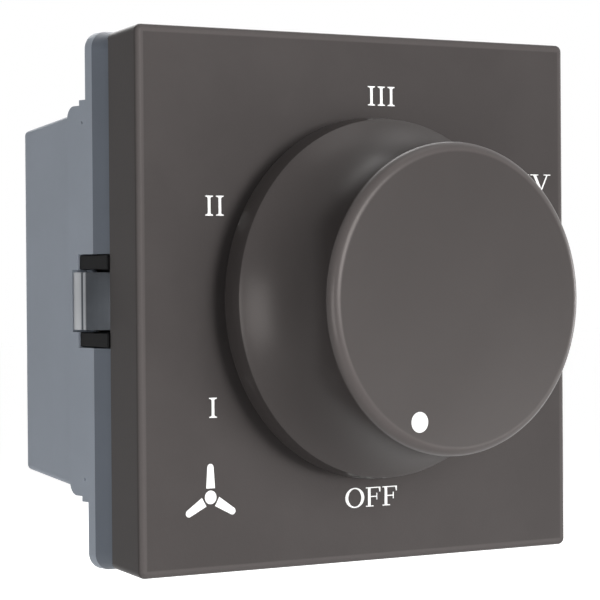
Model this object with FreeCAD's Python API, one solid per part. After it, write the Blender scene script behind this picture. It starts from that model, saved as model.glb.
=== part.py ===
import FreeCAD, Part
import math
import os

# Rotary fan speed control switch for a 45 mm modular wiring frame.
# +X right, +Y into the wall, +Z up. The origin is the centre of the seat plane,
# the rear face of the casing flange, which bears on the support frame.
# Everything is in millimetres.

Vec = FreeCAD.Vector

# How far a cut runs past the face it opens, and how far joined shapes lap
over = 1.0
lap = 0.1

# Half of the module's square face, and what stands back from it
module_half = 22.5
side_inset = 0.15

# Depths, measured along Y from the seat plane
flange_thickness = 1.1
frame_thickness = 2.2
cover_depth = 5.1
collar_b_depth = 1.0
collar_a_depth = 2.0
casing_depth = 11.2
casing_joint_y = -flange_thickness
frame_front_y = casing_joint_y - frame_thickness
cover_front_y = frame_front_y - cover_depth
casing_rear_y = casing_depth

# Front frame
frame_half = module_half - side_inset
frame_chamfer = 0.4
frame_corner = 1.4
bearing_outer_radius = 6.2
bearing_cover_gap = 0.2
holder_back_gap = 0.05

# Casing
casing_half_x = frame_half
casing_draft_x = 0.4
collar_b_half = 16.75
collar_a_half = 16.3
collar_a_round = 1.1
box_half_z = 16.0
box_draft_z = 1.35
box_round = 0.4
box_corner = 0.5
casing_wall = 1.2
casing_side_wall = 1.85
casing_end_wall = 0.75
cavity_half_x = casing_half_x - casing_side_wall
cavity_half_z = box_half_z - box_draft_z - casing_end_wall
cavity_rear_y = casing_rear_y - casing_wall
pip_radius = 0.13
pip_depth = 0.2
pip_y = 0.55
pip_inset = 1.13
pip_z = box_half_z - pip_inset

# Cover plate
cover_half = module_half
cover_draft = 0.4
cover_corner = 0.6
cover_edge_fillet = 0.45
cover_wall = 1.5
cover_face = 2.0
cover_cavity_y = cover_front_y + cover_face
hub_hole_clearance = 0.6
hook_inset_x = 10.5
hook_inset_z = 3.1
hook_x = cover_half - hook_inset_x
hook_z = cavity_half_z - hook_inset_z
hook_width = 4.0
hook_thickness = 1.2
hook_barb = 0.45
hook_reach = 0.9
hook_catch_gap = 0.05
hook_slot_clearance = 0.2

# Printed legends and fan symbol
print_thickness = 0.05
cap_height = 1.65
numeral_width = 0.74
numeral_pitch = 1.05
vee_width = 2.3
vee_inset = 0.28
vee_thick = 0.34
vee_thin = 0.13
vee_serif = 0.9
letter_o_width = 1.98
letter_o_side = 0.3
letter_o_top = 0.1
letter_f_width = 1.6
letter_f_stem = 0.27
letter_gap = 0.17
stem_half = 0.125
serif_height = 0.08
serif_bracket = 0.14
off_inset = 5.5
one_inset = 7.1
two_inset = 7.4
three_inset = 5.2
four_inset = 3.2
off_x = 0.72
one_z = -8.8
two_z = 7.8
three_x = 2.06
four_z = 10.0
off_centre = (off_x, off_inset - cover_half)
one_centre = (one_inset - cover_half, one_z)
two_centre = (two_inset - cover_half, two_z)
three_centre = (three_x, cover_half - three_inset)
four_centre = (cover_half - four_inset, four_z)
symbol_inset_x = 6.8
symbol_inset_z = 6.35
symbol_centre = (symbol_inset_x - cover_half, symbol_inset_z - cover_half)
symbol_hub_radius = 0.56
symbol_blade_start = 0.74
symbol_blade_end = 2.75
symbol_root_half = 0.42
symbol_tip_half = 0.3

# Screws that join the casing to the front frame
casing_screw_inset = 2.75
casing_screw_x = cavity_half_x - casing_screw_inset
casing_screw_z = cavity_half_z - casing_screw_inset
casing_screw_radius = 1.1
casing_screw_head_radius = 2.0
casing_screw_head_height = 1.4
screw_hole_clearance = 0.15
pilot_clearance = 0.02
head_clearance = 0.25
column_wall = 1.55
frame_boss_length = 2.6
screw_well_depth = 1.6
pilot_depth = 1.2
screw_tip_length = 0.6
screw_tip_radius = 0.3
head_round_share = 0.3
slot_width = 0.5
slot_depth = 0.6

# Spring clips and their holders
window_half_z = 3.9
window_rear_y = 1.4
window_clearance = 0.08
clip_width = 4.8
clip_thickness = 0.35
clip_side_clearance = 0.2
clip_root_inset = 1.0
clip_root_behind = 0.45
clip_nose_proud = 0.4
clip_groove_proud = 0.07
clip_shoulder_proud = 0.27
clip_tail_proud = 0.05
clip_pivot_x = clip_root_inset - frame_half
clip_pivot_y = frame_front_y + clip_root_behind
clip_nose_x = -frame_half - clip_nose_proud
clip_nose_y = -0.75
clip_groove_x = -frame_half - clip_groove_proud
clip_groove_y = -0.1
clip_shoulder_x = -frame_half - clip_shoulder_proud
clip_shoulder_y = 0.35
clip_tail_x = -frame_half - clip_tail_proud
clip_tail_y = 1.75
clip_root_length = 1.1
clip_travel_gap = 1.15
holder_face_inset = 0.1
holder_depth = 2.65
holder_face_x = holder_face_inset - frame_half
holder_inner_x = holder_face_x + holder_depth
holder_slit_gap = 0.25
holder_back_wall = 0.3
tail_slot_gap = 0.6
tail_slot_wall = 0.4

# Rotating parts
rest_turn = 23.5
knob_gap = 1.6
knob_radius = 15.3
knob_band_top = 3.55
knob_band_radius = 15.1
knob_base_round = 0.25
knob_height = 13.4
knob_front_radius = 12.84
knob_rim_fillet = 0.85
knob_neck_radius = 11.7
knob_neck_height = 12.1
skirt_sagitta = 1.3
knob_wall = 2.0
knob_face = 2.0
knob_hub_radius = 5.5
knob_hub_reach = 1.2
dot_radius = 0.84
dot_place = 10.75
dot_depth = 0.5
bore_end_gap = 0.3
shaft_radius = 3.0
shaft_flat = 1.5
shaft_front_height = 11.0
shaft_journal_radius = 3.5
running_clearance = 0.05
grip_spring_thickness = 0.3
grip_spring_width = 3.0
grip_spring_length = 8.0
grip_spring_gap = 0.03
grip_spring_setback = 0.6
shaft_tail_radius = 1.5
tail_boss_wall = 1.3
tail_boss_length = 2.6
tail_end_gap = 0.4
rotor_radius = 9.5
rotor_thickness = 2.2
rotor_gap = 0.3
rotor_hub_radius = 4.6
notch_count = 6
notch_radius = 1.3
notch_depth = 0.7
rotor_drive_radius = 2.4
rotor_drive_flat = 1.2
rotor_drive_gap = 0.02
rotor_relief = 0.5
rotor_rim = 1.6

# Contacts
bridge_thickness = 0.4
bridge_ring_inner = 1.95
bridge_ring_outer = 2.9
bridge_arm_width = 2.2
dimple_radius = 0.6
contact_circle = 5.6
contact_gap = 0.05
dimple_height = 0.65
bridge_tip_share = 0.9
pad_radius = 1.4
common_ring_inner = 1.95
common_ring_outer = 3.1
common_ring_mean = 2.4
common_elbow_z = 4.2
strip_width = 2.2
strip_thickness = 0.5
busbar_width = 4.0
busbar_thickness = 0.8
busbar_z = 7.4
base_side_gap = 1.2
base_half_x = cavity_half_x - base_side_gap
base_column_gap = 1.3
base_half_z = casing_screw_z - casing_screw_radius - column_wall - base_column_gap
base_thickness = 1.2
base_corner = 0.8
tab_lap = 1.2
base_centre_radius = 1.85
base_screw_inset = 2.1
base_screw_x = base_half_x - base_screw_inset
base_screw_radius = 1.0
base_screw_head_radius = 1.8
base_screw_head_height = 1.1
base_post_radius = 2.1
base_pilot_depth = 0.4
base_screw_reach = 0.6

# Detent spring
detent_thickness = 0.35
detent_width = 1.8
detent_gap = 0.06
detent_hook_gap = 1.5
detent_half_span = hook_x - hook_width / 2 - detent_hook_gap
detent_drop = 1.1
detent_bump_half = 1.6
detent_bump_slope = 0.6
detent_post_radius = 0.9
detent_post_inset = 0.5
detent_post_x = detent_half_span - detent_post_inset
detent_post_over = 0.2
detent_seat_gap = 0.05
detent_wall_gap = 0.1
detent_wall = 1.0

# Terminals: a screw turns in place and draws its cage up to the busbar
terminal_screw_spacing = 5.75
terminal_x = casing_screw_x - terminal_screw_spacing
terminal_y = 7.1
cage_width = 6.0
cage_length = 4.2
cage_wall = 0.8
cage_roof = 1.5
cage_opening = 4.4
cage_floor = 1.0
wire_space = 3.0
thread_clearance = 0.05
terminal_screw_radius = 1.5
terminal_head_radius = 2.1
terminal_head_height = 1.5
terminal_head_inset = 3.05
terminal_head_z = box_half_z - terminal_head_inset
terminal_head_round = 0.35
terminal_well_radius = 2.35
screw_tip_gap = 0.05
wire_hole_radius = 1.4
wire_funnel = 0.4
guide_rib_thickness = 1.0
guide_rib_gap = 0.15
guide_rib_below = 0.4

# Angle of each speed's contact on the dial, in degrees clockwise from OFF
dial_angles = {"speed_1": 60, "speed_2": 120, "speed_3": 180, "speed_4": 240}
common_dial_angle = 300


def box(x0, x1, y0, y1, z0, z1):
    return Part.makeBox(x1 - x0, y1 - y0, z1 - z0, Vec(x0, y0, z0))


def rod_y(radius, y0, y1, x=0.0, z=0.0):
    return Part.makeCylinder(radius, y1 - y0, Vec(x, y0, z), Vec(0, 1, 0))


def rod_z(radius, z0, z1, x=0.0, y=0.0):
    return Part.makeCylinder(radius, z1 - z0, Vec(x, y, z0), Vec(0, 0, 1))


def join(shapes):
    first = shapes[0]
    return first.fuse(shapes[1:]).removeSplitter() if len(shapes) > 1 else first


def polygon_prism(points, y0, y1):
    # A closed outline in the XZ plane, given as (x, z), pushed along Y
    corners = [Vec(x, y0, z) for x, z in points]
    face = Part.Face(Part.makePolygon(corners + [corners[0]]))
    return face.extrude(Vec(0, y1 - y0, 0))


def rounded_outline(half_x, half_z, radius, y):
    edges = []
    diagonal = radius * math.sqrt(0.5)
    signs = [(1, 1), (-1, 1), (-1, -1), (1, -1)]
    ends = []
    for sx, sz in signs:
        cx = sx * (half_x - radius)
        cz = sz * (half_z - radius)
        middle = Vec(cx + sx * diagonal, y, cz + sz * diagonal)
        side = Vec(sx * half_x, y, cz)
        top = Vec(cx, y, sz * half_z)
        start, end = (side, top) if sx == sz else (top, side)
        edges.append(Part.Arc(start, middle, end).toShape())
        ends.append((start, end))
    for i in range(4):
        edges.append(Part.LineSegment(ends[i][1], ends[(i + 1) % 4][0]).toShape())
    return Part.Wire(Part.__sortEdges__(edges))


def tapered_block(front, rear):
    return Part.makeLoft([front, rear], True, True)


def revolve_profile(edges):
    # A closed profile in the XY plane (radius along X) turned about the Y axis
    face = Part.Face(Part.Wire(Part.__sortEdges__(edges)))
    return face.revolve(Vec(0, 0, 0), Vec(0, 1, 0), 360)


def line(a, b):
    return Part.LineSegment(Vec(a[0], a[1], 0), Vec(b[0], b[1], 0)).toShape()


def arc(a, b, c):
    return Part.Arc(Vec(a[0], a[1], 0), Vec(b[0], b[1], 0), Vec(c[0], c[1], 0)).toShape()


def turned(shape, degrees):
    result = shape.copy()
    result.rotate(Vec(0, 0, 0), Vec(0, 1, 0), degrees)
    return result


def mirrored_x(shape):
    return shape.mirror(Vec(0, 0, 0), Vec(1, 0, 0))


def mirrored_z(shape):
    return shape.mirror(Vec(0, 0, 0), Vec(0, 0, 1))


def dial_direction(degrees):
    # Degrees clockwise from straight down, seen from the front
    a = math.radians(degrees)
    return -math.sin(a), -math.cos(a)


def bent_strip(points, thickness, z0, z1):
    # A strip of sheet bent along points in the XY plane, as wide as z0 to z1
    left = []
    right = []
    count = len(points)
    for i in range(count):
        before = points[max(i - 1, 0)]
        after = points[min(i + 1, count - 1)]
        here = points[i]
        normals = []
        for p, q in ((before, here), (here, after)):
            length = math.hypot(q[0] - p[0], q[1] - p[1])
            if length > 0:
                normals.append((-(q[1] - p[1]) / length, (q[0] - p[0]) / length))
        nx = sum(n[0] for n in normals) / len(normals)
        ny = sum(n[1] for n in normals) / len(normals)
        scale = thickness / 2 / (nx * nx + ny * ny)
        left.append((here[0] + nx * scale, here[1] + ny * scale))
        right.append((here[0] - nx * scale, here[1] - ny * scale))
    outline = left + right[::-1]
    corners = [Vec(x, y, z0) for x, y in outline]
    face = Part.Face(Part.makePolygon(corners + [corners[0]]))
    return face.extrude(Vec(0, 0, z1 - z0))


# Cover plate

def hub_hole_radius():
    return knob_hub_radius + hub_hole_clearance


def hook_places():
    return [(sx * hook_x, sz * hook_z, sz) for sx in (-1, 1) for sz in (-1, 1)]


def make_cover_plate():
    front = rounded_outline(cover_half, cover_half, cover_corner, cover_front_y)
    rear_half = cover_half - cover_draft
    rear = rounded_outline(rear_half, rear_half, cover_corner, frame_front_y)
    plate = tapered_block(front, rear)
    rim = [e for e in plate.Edges if abs(e.BoundBox.YMax - cover_front_y) < 1e-6]
    plate = plate.makeFillet(cover_edge_fillet, rim)
    inner = rear_half - cover_wall
    cavity = box(-inner, inner, cover_cavity_y, frame_front_y + over, -inner, inner)
    cavity_edges = [e for e in cavity.Edges if abs(e.BoundBox.YLength) > 1]
    cavity = cavity.makeFillet(cover_corner, cavity_edges)
    hole = rod_y(hub_hole_radius(), cover_front_y - over, cover_cavity_y + over)
    plate = plate.cut([cavity, hole])
    hooks = []
    stem_end = casing_joint_y + hook_reach
    catch_y = casing_joint_y + hook_catch_gap
    for x, z, sz in hook_places():
        z0, z1 = sorted((z, z + sz * hook_thickness))
        left = x - hook_width / 2
        hooks.append(box(left, left + hook_width, cover_cavity_y - lap, stem_end, z0, z1))
        tip_z = z + sz * hook_thickness
        barb = [
            Vec(left, catch_y, tip_z),
            Vec(left, catch_y, tip_z + sz * hook_barb),
            Vec(left, stem_end, tip_z),
        ]
        face = Part.Face(Part.makePolygon(barb + [barb[0]]))
        hooks.append(face.extrude(Vec(hook_width, 0, 0)))
    return join([plate] + hooks)


# Printed legends

def glyph_i(x):
    # A roman numeral one: a stem with bracketed serifs, its left edge at x
    half = numeral_width / 2
    mid = x + half
    h = cap_height / 2
    shoulder = h - serif_height
    right = [
        (mid + stem_half, 0),
        (mid + stem_half, shoulder - serif_bracket),
        (mid + stem_half + serif_bracket * 0.4, shoulder - serif_bracket * 0.35),
        (mid + half, shoulder),
        (mid + half, h),
    ]
    left = [(2 * mid - px, pz) for px, pz in right]
    upper = right + left[::-1]
    lower = [(px, -pz) for px, pz in upper]
    return [upper, lower]


def rectangle(x0, x1, z0, z1):
    return [(x0, z0), (x1, z0), (x1, z1), (x0, z1)]


def glyph_v(x):
    # A thick left stroke and a thin right one meet at the foot, with a serif on each
    h = cap_height / 2
    left = x + vee_inset
    right = x + vee_width - vee_inset
    foot = x + vee_width * 0.52
    return [
        [(left, h), (left + vee_thick, h), (foot + 0.06, 0.34 - h), (foot, -h)],
        [(right - vee_thin, h), (right, h), (foot, -h), (foot - 0.02, 0.3 - h)],
        rectangle(x, x + vee_serif, h - serif_height, h),
        rectangle(x + vee_width - vee_serif * 0.87, x + vee_width, h - serif_height, h),
    ]


def glyph_f(x):
    # Stem, foot serif, top bar with its drop, middle bar and the middle bar's serif
    h = cap_height / 2
    stem = x + 0.24
    end = x + letter_f_width - 0.05
    bar_end = end - 0.4
    return [
        rectangle(stem, stem + letter_f_stem, -h, h),
        rectangle(x + 0.02, x + 0.8, -h, serif_height - h),
        rectangle(x + 0.02, end, h - serif_height, h),
        [(end - 0.09, h - 0.42), (end, h - 0.42), (end, h), (end - 0.17, h - serif_height)],
        rectangle(stem + letter_f_stem - 0.05, bar_end, -0.02, 0.07),
        rectangle(bar_end - 0.02, bar_end + 0.06, -0.26, 0.31),
    ]


def raised_print(outline, cx, cz):
    points = [(cx + x, cz + z) for x, z in outline]
    return polygon_prism(points, cover_front_y - print_thickness, cover_front_y)


def ellipse_prism(cx, cz, half_x, half_z, y0, y1):
    major, minor = (Vec(1, 0, 0), Vec(0, 0, 1))
    a, b = half_x, half_z
    if half_z > half_x:
        major, minor = minor, major
        a, b = half_z, half_x
    centre = Vec(cx, y0, cz)
    curve = Part.Ellipse(centre + major * a, centre + minor * b, centre)
    face = Part.Face(Part.Wire(curve.toShape()))
    return face.extrude(Vec(0, y1 - y0, 0))


def make_word(glyphs, cx, cz):
    return join([raised_print(outline, cx, cz) for shapes in glyphs for outline in shapes])


def numerals(count):
    width = numeral_width + (count - 1) * numeral_pitch
    return [glyph_i(-width / 2 + i * numeral_pitch) for i in range(count)]


def make_letter_o(x, z):
    y0 = cover_front_y - print_thickness
    half_x = letter_o_width / 2
    half_z = cap_height / 2 + 0.03
    outer = ellipse_prism(x, z, half_x, half_z, y0, cover_front_y)
    inner_x = half_x - letter_o_side
    inner_z = half_z - letter_o_top
    inner = ellipse_prism(x, z, inner_x, inner_z, y0 - over, cover_front_y + over)
    return outer.cut(inner)


def make_scale_legend():
    marks = []
    for count, centre in ((1, one_centre), (2, two_centre), (3, three_centre)):
        for glyph in numerals(count):
            marks.append(make_word([glyph], *centre))
    left = -(numeral_width + letter_gap + vee_width) / 2
    marks.append(make_word([glyph_i(left)], *four_centre))
    marks.append(make_word([glyph_v(left + numeral_width + letter_gap)], *four_centre))
    left = -(letter_o_width + 2 * letter_f_width + 2 * letter_gap) / 2
    marks.append(make_letter_o(off_centre[0] + left + letter_o_width / 2, off_centre[1]))
    for i in range(2):
        start = left + letter_o_width + letter_gap + i * (letter_f_width + letter_gap)
        marks.append(make_word([glyph_f(start)], *off_centre))
    return Part.makeCompound(marks)


def make_fan_symbol():
    cx, cz = symbol_centre
    y0 = cover_front_y - print_thickness
    marks = [rod_y(symbol_hub_radius, y0, cover_front_y, cx, cz)]
    tip_centre = symbol_blade_end - symbol_tip_half
    blade = polygon_prism(
        [
            (-symbol_root_half, symbol_blade_start),
            (symbol_root_half, symbol_blade_start),
            (symbol_tip_half, tip_centre),
            (-symbol_tip_half, tip_centre),
        ],
        y0,
        cover_front_y,
    )
    blade = join([blade, rod_y(symbol_tip_half, y0, cover_front_y, 0, tip_centre)])
    for k in range(3):
        one = turned(blade, k * 120)
        one.translate(Vec(cx, 0, cz))
        marks.append(one)
    return Part.makeCompound(marks)


# Front frame

def casing_screw_places():
    return [(sx * casing_screw_x, sz * casing_screw_z) for sx in (-1, 1) for sz in (-1, 1)]


def rotor_front_y():
    return casing_joint_y + rotor_gap


def rotor_rear_y():
    return rotor_front_y() + rotor_thickness


def base_front_y():
    bridge_rear = rotor_rear_y() + bridge_thickness
    return bridge_rear + dimple_height + contact_gap + strip_thickness


def clip_window(y0, y1):
    left = box(-casing_half_x - over, clip_cut_x(), y0, y1, -window_half_z, window_half_z)
    return [left, mirrored_x(left)]


def clip_cut_x():
    return holder_inner_x + holder_back_gap


def detent_seat_z():
    return -(rotor_radius + detent_gap + detent_drop)


def make_front_frame():
    front_half = frame_half - frame_chamfer
    front = rounded_outline(front_half, front_half, frame_corner, frame_front_y)
    rear = rounded_outline(frame_half, frame_half, frame_corner, casing_joint_y)
    solids = [tapered_block(front, rear)]
    boss_front = cover_cavity_y + bearing_cover_gap
    solids.append(rod_y(bearing_outer_radius, boss_front, casing_joint_y))
    start = casing_joint_y - lap
    boss_rear = casing_joint_y + frame_boss_length
    for x, z in casing_screw_places():
        solids.append(rod_y(casing_screw_radius + column_wall, start, boss_rear, x, z))
    post_z = detent_seat_z() - detent_thickness - detent_seat_gap - detent_post_radius
    post_rear = rotor_rear_y() + detent_post_over
    stop_x = detent_half_span + detent_wall_gap
    stop_top = detent_seat_z() + detent_wall
    stop = box(stop_x, stop_x + detent_wall, start, post_rear, post_z - detent_post_radius, stop_top)
    solids.extend([stop, mirrored_x(stop)])
    for sx in (-1, 1):
        solids.append(rod_y(base_post_radius, start, base_front_y(), sx * base_screw_x, 0))
        solids.append(rod_y(detent_post_radius, start, post_rear, sx * detent_post_x, post_z))
    frame = join(solids)
    cuts = [rod_y(shaft_journal_radius + running_clearance, boss_front - over, casing_joint_y + over)]
    for x, z in casing_screw_places():
        pilot = casing_screw_radius + pilot_clearance
        cuts.append(rod_y(pilot, casing_joint_y - pilot_depth, boss_rear + over, x, z))
    for sx in (-1, 1):
        pilot = base_screw_radius + pilot_clearance
        pilot_front = casing_joint_y - base_pilot_depth
        cuts.append(rod_y(pilot, pilot_front, base_front_y() + over, sx * base_screw_x, 0))
    for x, z, sz in hook_places():
        half = hook_width / 2 + hook_slot_clearance
        z0, z1 = sorted((z - sz * hook_slot_clearance, z + sz * (hook_thickness + hook_catch_gap)))
        cuts.append(box(x - half, x + half, frame_front_y - over, casing_joint_y + over, z0, z1))
    cuts.extend(clip_window(frame_front_y - over, casing_joint_y + over))
    return frame.cut(cuts)


# Casing

def terminal_places():
    # Name, X and the side of the casing on which each terminal sits
    return [
        ("speed_1", -terminal_x, -1),
        ("speed_2", -terminal_x, 1),
        ("speed_3", 0.0, 1),
        ("speed_4", terminal_x, 1),
        ("common", terminal_x, -1),
    ]


def wire_centre_z():
    return busbar_z - wire_space / 2


def casing_column_front():
    return casing_joint_y + frame_boss_length + hook_catch_gap


def make_casing_shell():
    full = casing_half_x
    flange = rounded_outline(full, full, frame_corner, 0)
    flange = Part.Face(flange).extrude(Vec(0, casing_joint_y, 0))
    collar_b = box(-full, full, casing_joint_y, collar_b_depth, -collar_b_half, collar_b_half)
    collar_a_end = collar_b_depth + collar_a_depth
    collar_a = box(-full, full, 0, collar_a_end, -collar_a_half, collar_a_half)
    rear_edges = [e for e in collar_a.Edges if e.BoundBox.YMin > collar_a_end - 0.01]
    collar_a = collar_a.makeFillet(collar_a_round, [e for e in rear_edges if e.BoundBox.XLength > 1])
    front = rounded_outline(full, box_half_z, box_corner, 0)
    rear = rounded_outline(full - casing_draft_x, box_half_z - box_draft_z, box_corner, casing_rear_y)
    rear_box = tapered_block(front, rear)
    rear_edges = [e for e in rear_box.Edges if e.BoundBox.YMin > casing_rear_y - 0.01]
    rear_box = rear_box.makeFillet(box_round, rear_edges)
    shell = join([flange, collar_b, collar_a, rear_box])
    x, z = cavity_half_x, cavity_half_z
    return shell.cut(box(-x, x, casing_joint_y - over, cavity_rear_y, -z, z))


def make_casing_ribs():
    # Screw columns, the rear bearing's boss and the guide ribs beside each cage
    inside = []
    rear = cavity_rear_y + lap
    for x, z in casing_screw_places():
        inside.append(rod_y(casing_screw_radius + column_wall, casing_column_front(), rear, x, z))
    boss_radius = shaft_tail_radius + tail_boss_wall
    inside.append(rod_y(boss_radius, cavity_rear_y - tail_boss_length, rear))
    rib_x = cage_width / 2 + guide_rib_gap
    rib_front = terminal_y - cage_length / 2
    rib_inner = cage_floor_z() - guide_rib_below
    for name, x, side in terminal_places():
        for sx in (-1, 1):
            x0, x1 = sorted((x + sx * rib_x, x + sx * (rib_x + guide_rib_thickness)))
            rib = box(x0, x1, rib_front, rear, rib_inner, cavity_half_z + lap)
            inside.append(rib if side > 0 else mirrored_z(rib))
    return inside


def terminal_openings():
    # A wire entry in the rear wall and a screw well in the top or bottom wall
    cuts = []
    funnel_y = casing_rear_y - wire_funnel
    for name, x, side in terminal_places():
        wire_z = side * wire_centre_z()
        cuts.append(rod_y(wire_hole_radius, cavity_rear_y - over, casing_rear_y + over, x, wire_z))
        wide = wire_hole_radius + wire_funnel + over
        place = Vec(x, funnel_y, wire_z)
        cuts.append(Part.makeCone(wire_hole_radius, wide, wire_funnel + over, place, Vec(0, 1, 0)))
        well = rod_z(terminal_well_radius, cavity_half_z - over, box_half_z + over, x, terminal_y)
        cuts.append(well if side > 0 else mirrored_z(well))
    return cuts


def make_rear_casing():
    shell = join([make_casing_shell()] + make_casing_ribs())
    cuts = terminal_openings()
    for x, z in casing_screw_places():
        hole = casing_screw_radius + screw_hole_clearance
        cuts.append(rod_y(hole, casing_joint_y, casing_rear_y + over, x, z))
        well = casing_screw_head_radius + head_clearance
        cuts.append(rod_y(well, casing_rear_y - screw_well_depth, casing_rear_y + over, x, z))
    cuts.append(rod_y(shaft_tail_radius + running_clearance, 0, cavity_rear_y + lap * 2))
    cuts.extend(clip_window(casing_joint_y - over, window_rear_y))
    tail_half = clip_width / 2 + clip_side_clearance
    slot_inner = -cavity_half_x - tail_slot_wall
    slot = box(-casing_half_x - over, slot_inner, 0, clip_tail_y + tail_slot_gap, -tail_half, tail_half)
    cuts.extend([slot, mirrored_x(slot)])
    for sz in (-1, 1):
        place = Vec(-casing_half_x - over, pip_y, sz * pip_z)
        pip = Part.makeCylinder(pip_radius, over + pip_depth, place, Vec(1, 0, 0))
        cuts.extend([pip, mirrored_x(pip)])
    return shell.cut(cuts)


# Fasteners

def pan_screw(x, z, tip_y, head_y, shank_radius, head_radius, head_height):
    # A screw driven from the rear, with a slotted pan head
    top = head_y + head_height
    shank = rod_y(shank_radius, tip_y, head_y + lap, x, z)
    point = Vec(x, tip_y - screw_tip_length, z)
    tip = Part.makeCone(screw_tip_radius, shank_radius, screw_tip_length, point, Vec(0, 1, 0))
    head = rod_y(head_radius, head_y, top, x, z)
    crown = [e for e in head.Edges if e.BoundBox.YMin > top - 0.01]
    head = head.makeFillet(head_height * head_round_share, crown)
    half = slot_width / 2
    slot = box(x - head_radius, x + head_radius, top - slot_depth, top + over, z - half, z + half)
    return join([shank, tip, head]).cut(slot)


def make_casing_screws():
    head_y = casing_rear_y - screw_well_depth
    screws = []
    for x, z in casing_screw_places():
        screws.append(
            pan_screw(
                x,
                z,
                casing_joint_y - pilot_depth + screw_tip_length + 0.2,
                head_y,
                casing_screw_radius,
                casing_screw_head_radius,
                casing_screw_head_height,
            )
        )
    return Part.makeCompound(screws)


def make_base_screws():
    head_y = base_front_y() + base_thickness
    screws = []
    for sx in (-1, 1):
        screws.append(
            pan_screw(
                sx * base_screw_x,
                0,
                casing_joint_y + base_screw_reach,
                head_y,
                base_screw_radius,
                base_screw_head_radius,
                base_screw_head_height,
            )
        )
    return Part.makeCompound(screws)


# Spring clips

def make_left_clip():
    half = clip_width / 2
    path = [
        (clip_pivot_x + clip_root_length, clip_pivot_y),
        (clip_pivot_x, clip_pivot_y),
        (clip_nose_x, clip_nose_y),
        (clip_groove_x, clip_groove_y),
        (clip_shoulder_x, clip_shoulder_y),
        (clip_tail_x, clip_tail_y),
    ]
    return bent_strip(path, clip_thickness, -half, half)


def make_left_holder():
    half_z = window_half_z - window_clearance
    front = frame_front_y + window_clearance
    rear = window_rear_y - window_clearance
    block = box(holder_face_x, holder_inner_x, front, rear, -half_z, half_z)
    slot_half = clip_width / 2 + clip_side_clearance
    floor_x = clip_pivot_x + clip_travel_gap
    channel = box(holder_face_x - over, floor_x, front - over, rear + over, -slot_half, slot_half)
    slit_half = clip_thickness / 2 + holder_slit_gap
    slit_front = max(clip_pivot_y - slit_half, front)
    slit_inner = holder_inner_x - holder_back_wall
    slit_rear = clip_pivot_y + slit_half
    slit = box(holder_face_x - over, slit_inner, slit_front, slit_rear, -slot_half, slot_half)
    return block.cut([channel, slit])


# Knob and the parts that turn with it

def knob_y(height):
    return cover_front_y - height


def knob_skirt_arc():
    # The concave skirt from the top of the band to the neck under the rim
    ax, ay = knob_band_radius, knob_y(knob_band_top)
    bx, by = knob_neck_radius, knob_y(knob_neck_height)
    length = math.hypot(bx - ax, by - ay)
    nx = (by - ay) / length
    ny = -(bx - ax) / length
    mx = (ax + bx) / 2 + nx * skirt_sagitta
    my = (ay + by) / 2 + ny * skirt_sagitta
    return (ax, ay), (mx, my), (bx, by)


def make_knob_blank():
    r = knob_base_round
    base_y = knob_y(knob_gap)
    front_y = knob_y(knob_height)
    f = knob_rim_fillet
    k = math.sqrt(0.5)
    start, middle, neck = knob_skirt_arc()
    rim_centre = (knob_front_radius - f, front_y + f)
    rim_back = (knob_front_radius, rim_centre[1])
    rim_middle = (rim_centre[0] + f * k, rim_centre[1] - f * k)
    base_ring = (knob_radius - r, base_y)
    base_side = (knob_radius, base_y - r)
    inner_wall = knob_band_radius - knob_wall
    inner_neck = middle[0] - knob_wall
    cavity_top = front_y + knob_face
    hub_rear = cover_front_y + knob_hub_reach
    edges = [
        arc(base_ring, (knob_radius - r + r * k, base_y - r + r * k), base_side),
        line(base_side, start),
        arc(start, middle, neck),
        line(neck, rim_back),
        arc(rim_back, rim_middle, (rim_centre[0], front_y)),
        line((rim_centre[0], front_y), (0, front_y)),
        line((0, front_y), (0, hub_rear)),
        line((0, hub_rear), (knob_hub_radius, hub_rear)),
        line((knob_hub_radius, hub_rear), (knob_hub_radius, cavity_top)),
        line((knob_hub_radius, cavity_top), (inner_neck, cavity_top)),
        line((inner_neck, cavity_top), (inner_neck, middle[1])),
        line((inner_neck, middle[1]), (inner_wall, start[1])),
        line((inner_wall, start[1]), (inner_wall, base_y)),
        line((inner_wall, base_y), base_ring),
    ]
    return revolve_profile(edges)


def shaft_section(radius, flat, y0, y1):
    # A round bar with one flat, on the +X side before the knob is turned
    bar = rod_y(radius, y0, y1)
    reach = radius + over
    return bar.cut(box(flat, reach, y0 - over, y1 + over, -reach, reach))


def shaft_front_y():
    return knob_y(shaft_front_height)


def make_knob():
    blank = make_knob_blank()
    bore_front = shaft_front_y() - bore_end_gap
    bore_rear = cover_front_y + knob_hub_reach + over
    flat = shaft_flat + grip_spring_thickness + 2 * grip_spring_gap
    bore = shaft_section(shaft_radius + grip_spring_gap, flat, bore_front, bore_rear)
    dx, dz = dial_direction(0)
    front = knob_y(knob_height)
    seat = rod_y(dot_radius, front - over, front + dot_depth, dx * dot_place, dz * dot_place)
    return turned(blank.cut([bore, seat]), rest_turn)


def make_pointer_dot():
    dx, dz = dial_direction(0)
    front = knob_y(knob_height)
    dot = rod_y(dot_radius, front - print_thickness, front + dot_depth, dx * dot_place, dz * dot_place)
    return turned(dot, rest_turn)


def make_grip_spring():
    y0 = shaft_front_y() + grip_spring_setback
    x0 = shaft_flat + grip_spring_gap
    half = grip_spring_width / 2
    leaf = box(x0, x0 + grip_spring_thickness, y0, y0 + grip_spring_length, -half, half)
    return turned(leaf, rest_turn)


def tail_rear_y():
    return cavity_rear_y - tail_end_gap


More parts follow.
